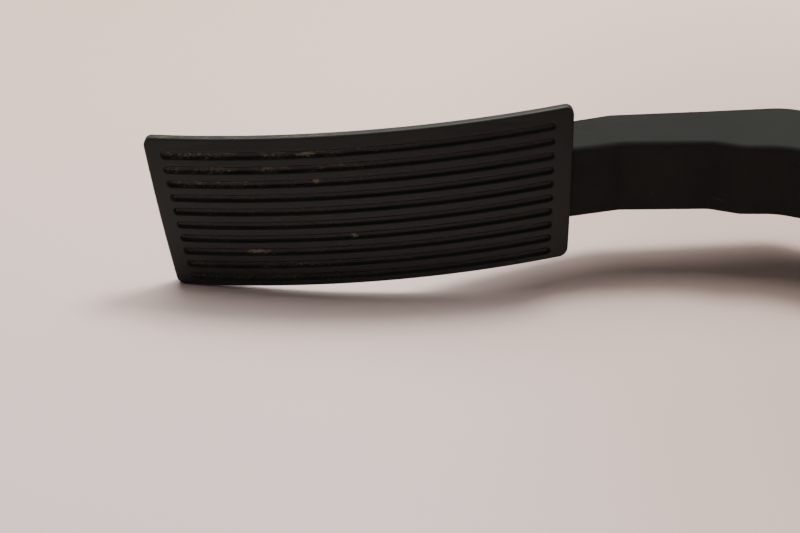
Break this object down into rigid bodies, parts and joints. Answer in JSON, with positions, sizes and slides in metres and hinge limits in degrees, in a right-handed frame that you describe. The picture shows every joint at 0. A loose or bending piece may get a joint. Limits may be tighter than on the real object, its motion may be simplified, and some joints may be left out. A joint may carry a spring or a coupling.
{
  "type": "accelerator pedal module",
  "caption": "Hanging electronic accelerator pedal: a ribbed convex pad on a cranked swing arm, sprung in a bulkhead-mounted housing with an angle sensor.",
  "frame": {"origin": "centre of the bulkhead mounting face", "axes": "+Y out of the bulkhead face towards the bulkhead, +Z along the pivot to the upper side as the module lies on its side, the arm leaving towards -X"},
  "size_m": [0.3061, 0.1641, 0.0839],
  "materials": {
    "pad_plastic": "fine-textured moulded glass-filled plastic, ribbed",
    "arm_plastic": "satin moulded glass-filled plastic",
    "housing_plastic": "fine spark-eroded texture",
    "cover_plastic": "satin moulded plastic",
    "slider_plastic": "natural low-friction plastic",
    "shoe_plastic": "filled low-wear plastic",
    "ground_steel": "ground",
    "spring_steel": "oiled spring wire",
    "zinc_steel": "bright zinc plated",
    "bronze": "sintered bronze",
    "black_rubber": "moulded rubber",
    "green_seal": "silicone seal",
    "ferrite": "sintered magnet",
    "board_green": "solder-masked board",
    "chip_black": "moulded chip body",
    "ceramic_tan": "ceramic chip capacitors",
    "tinned_brass": "tinned contact blades"
  },
  "bodies": {
    "housing": {"upper_bush": "bronze", "lower_bush": "bronze", "housing": "housing_plastic", "side_cover": "cover_plastic", "cover_gasket": "black_rubber", "side_cover_screws": "zinc_steel", "mounting_sleeves": "zinc_steel", "idle_bumper": "black_rubber", "full_travel_bumper": "black_rubber", "return_spring_outer": "spring_steel", "return_spring_inner": "spring_steel", "spring_cap": "cover_plastic", "sensor_board": "board_green", "hall_sensors": "chip_black", "board_capacitors": "ceramic_tan", "board_screws": "zinc_steel", "connector_terminals": "tinned_brass", "connector_seal": "green_seal", "sensor_cover": "cover_plastic", "sensor_cover_seal": "green_seal", "sensor_cover_screws": "zinc_steel"},
    "pedal": {"pedal_pad": "pad_plastic", "pad_clips": "zinc_steel", "pedal_arm": "arm_plastic", "pivot_shaft": "ground_steel", "shaft_clip": "spring_steel", "magnet_carrier": "slider_plastic", "sensor_magnet": "ferrite"},
    "plunger": {"friction_plunger": "slider_plastic", "friction_shoes": "shoe_plastic", "spring_seat": "zinc_steel"}
  },
  "joints": [
    {"name": "pedal_pivot", "type": "hinge", "parent": "housing", "child": "pedal", "pos_m": [-0.022, -0.042, 0], "axis": [0, 0, -1], "range_deg": [0, 16], "stiffness_Nm_per_rad": 12.9, "springref_deg": -12.03},
    {"name": "plunger_slide", "type": "slide", "parent": "housing", "child": "plunger", "axis": [1, 0, 0], "range_m": [0, 0.0068], "deforming": ["return_spring_outer", "return_spring_inner"]}
  ],
  "couplings": [
    {"joint": "plunger_slide", "follows": "pedal_pivot", "m_per_rad": 0.023922}
  ]
}
